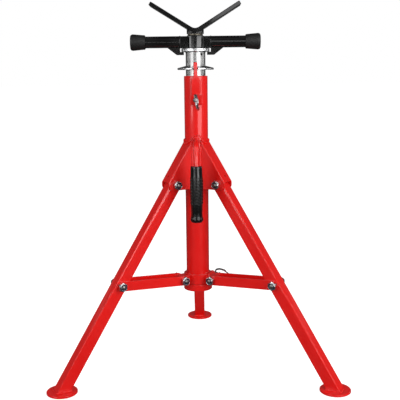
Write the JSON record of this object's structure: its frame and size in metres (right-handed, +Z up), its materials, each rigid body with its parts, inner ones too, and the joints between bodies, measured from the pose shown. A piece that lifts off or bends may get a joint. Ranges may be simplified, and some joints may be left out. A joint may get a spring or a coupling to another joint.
{
  "type": "pipe jack stand",
  "caption": "Folding tripod pipe stand with a V head, a pinned telescoping tube and a screw jack turned by a two-armed handle.",
  "frame": {"origin": "on the floor, under the middle of the stand's box. The main tube's axis stands 78.3 mm in front of it, towards -Y", "axes": "+Z up along the main tube, -Y towards the front, where the height pin and the carrying handle are, +X to the right as seen from the front"},
  "size_m": [0.6044, 0.5316, 0.7628],
  "materials": {
    "red_paint": "gloss red paint on steel",
    "black_paint": "satin black paint on steel",
    "zinc_plate": "bright zinc plate on steel",
    "bare_steel": "oiled bare steel",
    "bronze": "dull bronze",
    "black_rubber": "matt black rubber"
  },
  "bodies": {
    "frame": {"main_tube": "red_paint", "stop_ring": "red_paint", "key_plate": "red_paint", "height_pin_boss": "red_paint", "leg_bracket_left": "red_paint", "leg_bracket_right": "red_paint", "leg_bracket_rear": "red_paint", "carry_handle_rod": "red_paint", "carry_handle_grip": "black_rubber", "pivot_left_bolt": "zinc_plate", "pivot_left_nut": "zinc_plate", "pivot_right_bolt": "zinc_plate", "pivot_right_nut": "zinc_plate", "pivot_rear_bolt": "zinc_plate", "pivot_rear_nut": "zinc_plate"},
    "left_leg": {"leg_left": "red_paint", "foot_disc_left": "red_paint"},
    "right_leg": {"leg_right": "red_paint", "foot_disc_right": "red_paint"},
    "rear_leg": {"leg_rear": "red_paint", "foot_disc_rear": "red_paint"},
    "collar": {"slide_collar": "red_paint", "collar_lug_left": "red_paint", "collar_lug_right": "red_paint", "collar_lug_rear": "red_paint", "collar_pin_boss": "red_paint", "collar_end_left_bolt": "zinc_plate", "collar_end_left_nut": "zinc_plate", "collar_end_right_bolt": "zinc_plate", "collar_end_right_nut": "zinc_plate", "collar_end_rear_bolt": "zinc_plate", "collar_end_rear_nut": "zinc_plate"},
    "left_brace": {"brace_left": "red_paint", "leg_end_left_bolt": "zinc_plate", "leg_end_left_nut": "zinc_plate"},
    "right_brace": {"brace_right": "red_paint", "leg_end_right_bolt": "zinc_plate", "leg_end_right_nut": "zinc_plate"},
    "rear_brace": {"brace_rear": "red_paint", "leg_end_rear_bolt": "zinc_plate", "leg_end_rear_nut": "zinc_plate"},
    "collar_pin": {"collar_pin": "zinc_plate"},
    "collar_ring": {"collar_pin_ring": "zinc_plate"},
    "inner": {"inner_tube": "zinc_plate", "tube_flange": "zinc_plate", "notched_disc": "zinc_plate", "set_screw": "bare_steel"},
    "height_pin": {"height_pin": "zinc_plate"},
    "height_ring": {"height_pin_ring": "zinc_plate"},
    "lift": {"lifting_screw": "bare_steel", "v_saddle": "black_paint", "v_boss": "black_paint"},
    "handle": {"handle_hub": "black_paint", "handle_arm_left": "black_paint", "handle_arm_right": "black_paint", "handle_gusset_left": "black_paint", "handle_gusset_right": "black_paint", "handle_cap_left": "black_rubber", "handle_cap_right": "black_rubber", "thrust_washer": "bronze"}
  },
  "joints": [
    {"name": "collar_slide", "type": "slide", "parent": "frame", "child": "collar", "axis": [0, 0, 1], "range_m": [0, 0.1103]},
    {"name": "left_leg_fold", "type": "hinge", "parent": "frame", "child": "left_leg", "pos_m": [-0.04815, -0.10611, 0.3978], "axis": [0.5, -0.866, 0], "range_deg": [0, 28.28]},
    {"name": "right_leg_fold", "type": "hinge", "parent": "frame", "child": "right_leg", "pos_m": [0.04815, -0.10611, 0.3978], "axis": [0.5, 0.866, 0], "range_deg": [0, 28.28]},
    {"name": "rear_leg_fold", "type": "hinge", "parent": "frame", "child": "rear_leg", "pos_m": [0, -0.02271, 0.3978], "axis": [-1, 0, 0], "range_deg": [0, 28.28]},
    {"name": "left_brace_fold", "type": "hinge", "parent": "collar", "child": "left_brace", "pos_m": [-0.03525, -0.09866, 0.1938], "axis": [0.5, -0.866, 0], "range_deg": [0, 79.34]},
    {"name": "right_brace_fold", "type": "hinge", "parent": "collar", "child": "right_brace", "pos_m": [0.03525, -0.09866, 0.1938], "axis": [0.5, 0.866, 0], "range_deg": [0, 79.34]},
    {"name": "rear_brace_fold", "type": "hinge", "parent": "collar", "child": "rear_brace", "pos_m": [0, -0.03761, 0.1938], "axis": [-1, 0, 0], "range_deg": [0, 79.34]},
    {"name": "collar_pin_push", "type": "slide", "parent": "collar", "child": "collar_pin", "axis": [0.866, 0.5, 0], "range_m": [-0.0041, 0]},
    {"name": "collar_ring_swing", "type": "hinge", "parent": "collar_pin", "child": "collar_ring", "pos_m": [0.03966, -0.05541, 0.1938], "axis": [-0.4568, 0.7912, 0.4067], "range_deg": [-40, 40]},
    {"name": "height_slide", "type": "slide", "parent": "frame", "child": "inner", "axis": [0, 0, 1], "range_m": [0, 0.3048]},
    {"name": "height_pin_pull", "type": "slide", "parent": "frame", "child": "height_pin", "axis": [0, -1, 0], "range_m": [0, 0.007]},
    {"name": "height_ring_swing", "type": "hinge", "parent": "height_pin", "child": "height_ring", "pos_m": [0, -0.12406, 0.5698], "axis": [-0.1736, 0, 0.9848], "range_deg": [-60, 60]},
    {"name": "handle_turn", "type": "hinge", "parent": "inner", "child": "handle", "pos_m": [0, -0.07831, 0.6848], "axis": [0, 0, 1], "range_deg": [0, 17280]},
    {"name": "screw_lift", "type": "slide", "parent": "inner", "child": "lift", "axis": [0, 0, 1], "range_m": [0, 0.3048]}
  ],
  "couplings": [
    {"joint": "left_leg_fold", "follows": "collar_slide", "rad_per_m": 4.471},
    {"joint": "right_leg_fold", "follows": "collar_slide", "rad_per_m": 4.471},
    {"joint": "rear_leg_fold", "follows": "collar_slide", "rad_per_m": 4.471},
    {"joint": "left_brace_fold", "follows": "collar_slide", "rad_per_m": 12.545},
    {"joint": "right_brace_fold", "follows": "collar_slide", "rad_per_m": 12.545},
    {"joint": "rear_brace_fold", "follows": "collar_slide", "rad_per_m": 12.545},
    {"joint": "screw_lift", "follows": "handle_turn", "m_per_rad": 0.0010106}
  ]
}
